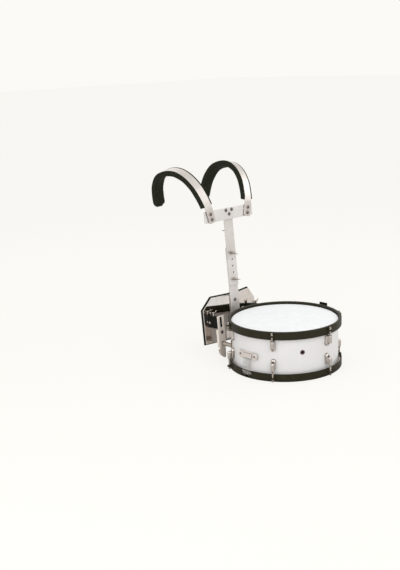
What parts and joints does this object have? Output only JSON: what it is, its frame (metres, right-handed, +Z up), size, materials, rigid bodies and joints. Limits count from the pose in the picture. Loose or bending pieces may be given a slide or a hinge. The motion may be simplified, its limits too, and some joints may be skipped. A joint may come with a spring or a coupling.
{
  "type": "marching snare drum",
  "caption": "Marching snare drum with tension rods and separate lugs, hung on a shoulder carrier with padded shoulder hooks, a belly plate and a height slide.",
  "frame": {"origin": "on the floor under the middle of the whole part's box; the lower hoop's rim stands on the floor", "axes": "+Z up along the drum's axis; the player stands at +Y and looks along -Y; +X is on the player's left hand"},
  "size_m": [0.3958, 0.696, 0.649],
  "materials": {
    "shell_white": "white gloss covering over a plywood shell",
    "head_white": "coated film, rough",
    "hoop_black": "cast, black paint, satin",
    "chrome": "polished",
    "dull_chrome": "satin plated",
    "bar_aluminium": "satin",
    "plate_polished": "mirror polished",
    "foam_black": "closed foam",
    "plastic_black": "moulded",
    "grommet_rubber": "soft",
    "snare_steel": "bare",
    "strap_film": "thin plastic strap"
  },
  "bodies": {
    "drum_and_mount": {"batter_head": "head_white", "batter_hoop": "hoop_black", "belly_pad": "foam_black", "belly_plate": "plate_polished", "butt_plate": "chrome", "clamp_block_left": "plastic_black", "clamp_block_right": "plastic_black", "hanger_left": "chrome", "hanger_right": "chrome", "lower_bar": "bar_aluminium", "lug_batter_1": "chrome", "lug_batter_2": "chrome", "lug_batter_3": "chrome", "lug_batter_4": "chrome", "lug_batter_5": "chrome", "lug_batter_6": "chrome", "lug_snare_1": "chrome", "lug_snare_2": "chrome", "lug_snare_3": "chrome", "lug_snare_4": "chrome", "lug_snare_5": "chrome", "lug_snare_6": "chrome", "shell": "shell_white", "shell_stud_left": "dull_chrome", "shell_stud_right": "dull_chrome", "snare_side_head": "head_white", "snare_side_hoop": "hoop_black", "snare_wires": "snare_steel", "strainer_base": "chrome", "strap_butt": "strap_film", "strap_strainer": "strap_film", "vent_grommet": "grommet_rubber"},
    "upper_frame": {"upper_bar": "bar_aluminium", "crossbar": "bar_aluminium", "shoulder_bar_left": "bar_aluminium", "shoulder_bar_right": "bar_aluminium", "shoulder_pad_left": "foam_black", "shoulder_pad_right": "foam_black"},
    "wing_nut_lower_body": {"wing_nut_lower": "dull_chrome"},
    "wing_nut_upper_body": {"wing_nut_upper": "dull_chrome"},
    "rear_wing_screw_body": {"rear_wing_screw": "dull_chrome"},
    "clamp_screw_left_body": {"clamp_screw_left": "chrome"},
    "clamp_screw_right_body": {"clamp_screw_right": "chrome"},
    "latch_left_body": {"latch_left": "chrome"},
    "latch_right_body": {"latch_right": "chrome"},
    "strainer_lever_body": {"strainer_lever": "plastic_black"},
    "strainer_slide_body": {"strainer_slide": "dull_chrome"},
    "strainer_knob_body": {"strainer_knob": "dull_chrome"},
    "rod_batter_1_body": {"rod_batter_1": "dull_chrome"},
    "rod_batter_2_body": {"rod_batter_2": "dull_chrome"},
    "rod_batter_3_body": {"rod_batter_3": "dull_chrome"},
    "rod_batter_4_body": {"rod_batter_4": "dull_chrome"},
    "rod_batter_5_body": {"rod_batter_5": "dull_chrome"},
    "rod_batter_6_body": {"rod_batter_6": "dull_chrome"},
    "rod_snare_1_body": {"rod_snare_1": "dull_chrome"},
    "rod_snare_2_body": {"rod_snare_2": "dull_chrome"},
    "rod_snare_3_body": {"rod_snare_3": "dull_chrome"},
    "rod_snare_4_body": {"rod_snare_4": "dull_chrome"},
    "rod_snare_5_body": {"rod_snare_5": "dull_chrome"},
    "rod_snare_6_body": {"rod_snare_6": "dull_chrome"}
  },
  "joints": [
    {"name": "height_slide", "type": "slide", "parent": "drum_and_mount", "child": "upper_frame", "axis": [0, 0.0872, 0.9962], "range_m": [-0.014, 0.015]},
    {"name": "wing_nut_lower_spin", "type": "hinge", "parent": "upper_frame", "child": "wing_nut_lower_body", "pos_m": [-0.0074, 0.08587, 0.25699], "axis": [0, 0.9962, -0.0872], "continuous": true},
    {"name": "wing_nut_upper_spin", "type": "hinge", "parent": "upper_frame", "child": "wing_nut_upper_body", "pos_m": [-0.0074, 0.09396, 0.34944], "axis": [0, 0.9962, -0.0872], "continuous": true},
    {"name": "rear_wing_screw_spin", "type": "hinge", "parent": "upper_frame", "child": "rear_wing_screw_body", "pos_m": [-0.0074, 0.10581, 0.4275], "axis": [0, 0.9962, -0.0872], "continuous": true},
    {"name": "clamp_screw_left_spin", "type": "hinge", "parent": "drum_and_mount", "child": "clamp_screw_left_body", "pos_m": [0.0966, 0.08615, 0.14544], "axis": [0, 0.0872, 0.9962], "continuous": true},
    {"name": "clamp_screw_right_spin", "type": "hinge", "parent": "drum_and_mount", "child": "clamp_screw_right_body", "pos_m": [-0.1114, 0.08615, 0.14544], "axis": [0, 0.0872, 0.9962], "continuous": true},
    {"name": "latch_left_swing", "type": "hinge", "parent": "drum_and_mount", "child": "latch_left_body", "pos_m": [0.0966, 0.05169, 0.04982], "axis": [1, 0, 0], "range_deg": [0, 65]},
    {"name": "latch_right_swing", "type": "hinge", "parent": "drum_and_mount", "child": "latch_right_body", "pos_m": [-0.1114, 0.05169, 0.04982], "axis": [1, 0, 0], "range_deg": [0, 65]},
    {"name": "strainer_throw", "type": "hinge", "parent": "drum_and_mount", "child": "strainer_lever_body", "pos_m": [0.1854, -0.14649, 0.103], "axis": [0, 1, 0], "range_deg": [0, 100]},
    {"name": "strainer_drop", "type": "slide", "parent": "drum_and_mount", "child": "strainer_slide_body", "axis": [0, 0, 1], "range_m": [-0.004, 0]},
    {"name": "strainer_knob_turn", "type": "hinge", "parent": "strainer_slide_body", "child": "strainer_knob_body", "pos_m": [0.1876, -0.14649, 0.056], "axis": [1, 0, 0], "continuous": true},
    {"name": "rod_batter_1_turn", "type": "hinge", "parent": "drum_and_mount", "child": "rod_batter_1_body", "pos_m": [-0.0074, -0.34049, 0.1555], "axis": [0, 0, 1], "continuous": true},
    {"name": "rod_batter_2_turn", "type": "hinge", "parent": "drum_and_mount", "child": "rod_batter_2_body", "pos_m": [0.16061, -0.24349, 0.1555], "axis": [0, 0, 1], "continuous": true},
    {"name": "rod_batter_3_turn", "type": "hinge", "parent": "drum_and_mount", "child": "rod_batter_3_body", "pos_m": [0.16061, -0.04949, 0.1555], "axis": [0, 0, 1], "continuous": true},
    {"name": "rod_batter_4_turn", "type": "hinge", "parent": "drum_and_mount", "child": "rod_batter_4_body", "pos_m": [-0.0074, 0.04751, 0.1555], "axis": [0, 0, 1], "continuous": true},
    {"name": "rod_batter_5_turn", "type": "hinge", "parent": "drum_and_mount", "child": "rod_batter_5_body", "pos_m": [-0.17541, -0.04949, 0.1555], "axis": [0, 0, 1], "continuous": true},
    {"name": "rod_batter_6_turn", "type": "hinge", "parent": "drum_and_mount", "child": "rod_batter_6_body", "pos_m": [-0.17541, -0.24349, 0.1555], "axis": [0, 0, 1], "continuous": true},
    {"name": "rod_snare_1_turn", "type": "hinge", "parent": "drum_and_mount", "child": "rod_snare_1_body", "pos_m": [-0.0074, -0.34049, 0.0095], "axis": [0, 0, 1], "continuous": true},
    {"name": "rod_snare_2_turn", "type": "hinge", "parent": "drum_and_mount", "child": "rod_snare_2_body", "pos_m": [0.16061, -0.24349, 0.0095], "axis": [0, 0, 1], "continuous": true},
    {"name": "rod_snare_3_turn", "type": "hinge", "parent": "drum_and_mount", "child": "rod_snare_3_body", "pos_m": [0.16061, -0.04949, 0.0095], "axis": [0, 0, 1], "continuous": true},
    {"name": "rod_snare_4_turn", "type": "hinge", "parent": "drum_and_mount", "child": "rod_snare_4_body", "pos_m": [-0.0074, 0.04751, 0.0095], "axis": [0, 0, 1], "continuous": true},
    {"name": "rod_snare_5_turn", "type": "hinge", "parent": "drum_and_mount", "child": "rod_snare_5_body", "pos_m": [-0.17541, -0.04949, 0.0095], "axis": [0, 0, 1], "continuous": true},
    {"name": "rod_snare_6_turn", "type": "hinge", "parent": "drum_and_mount", "child": "rod_snare_6_body", "pos_m": [-0.17541, -0.24349, 0.0095], "axis": [0, 0, 1], "continuous": true}
  ],
  "couplings": [
    {"joint": "strainer_drop", "follows": "strainer_throw", "m_per_rad": -0.00229}
  ]
}
